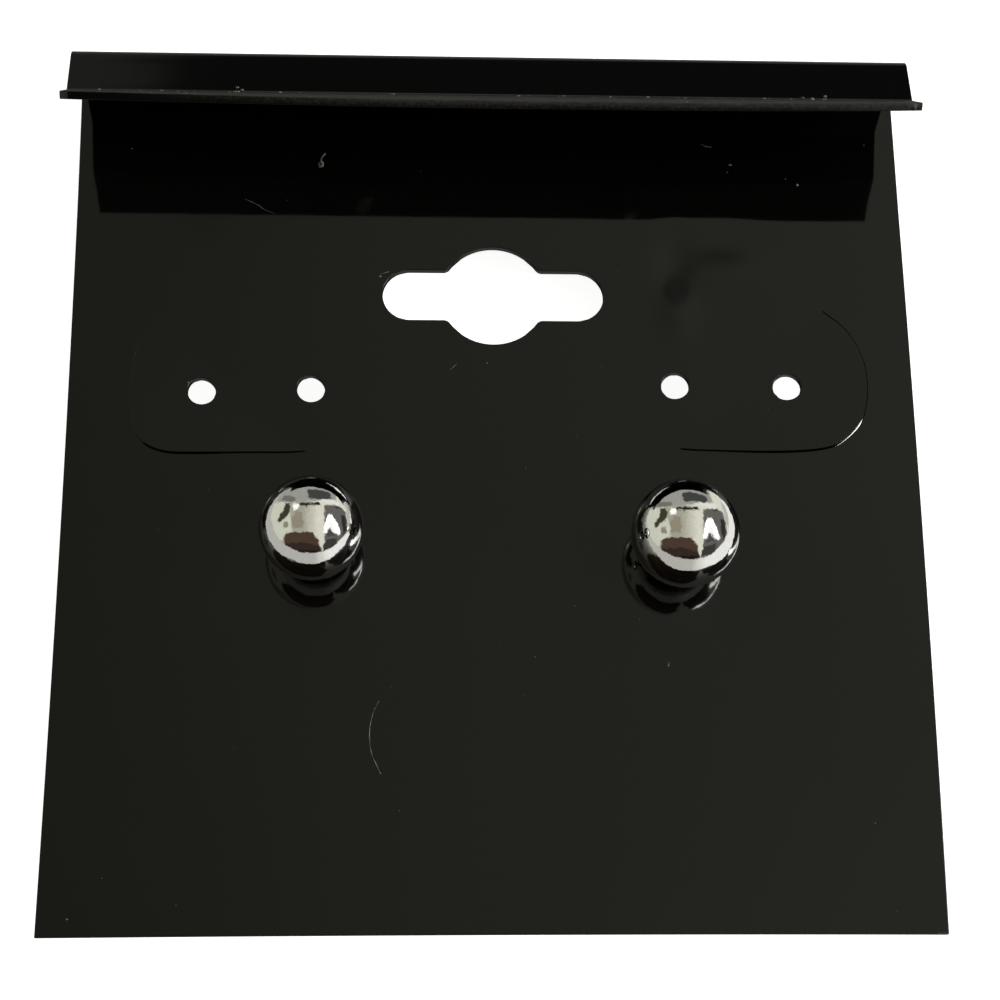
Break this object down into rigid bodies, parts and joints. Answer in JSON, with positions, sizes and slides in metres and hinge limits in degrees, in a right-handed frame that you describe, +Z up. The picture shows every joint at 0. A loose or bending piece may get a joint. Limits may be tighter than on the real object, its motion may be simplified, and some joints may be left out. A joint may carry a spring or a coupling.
{
  "type": "pair of ball stud earrings on a display card",
  "caption": "Polished ball studs on straight ear posts, held by push-on backs to a glossy black card with a butterfly hang slot and a folded hanging lip.",
  "frame": {"origin": "middle of the footprint, on the surface that the card lies on", "axes": "+Z up, +X to the right across the card, +Y towards the folded lip; the card's front faces up and towards +Y"},
  "size_m": [0.0508, 0.0512, 0.0169],
  "materials": {
    "black_plastic": "glossy",
    "polished_silver": "mirror polish",
    "ear_back_steel": "satin"
  },
  "bodies": {
    "root": {"display_card": "black_plastic", "ball_stud_left": "polished_silver", "ball_stud_right": "polished_silver", "ear_back_left": "ear_back_steel", "ear_back_right": "ear_back_steel"}
  },
  "joints": []
}
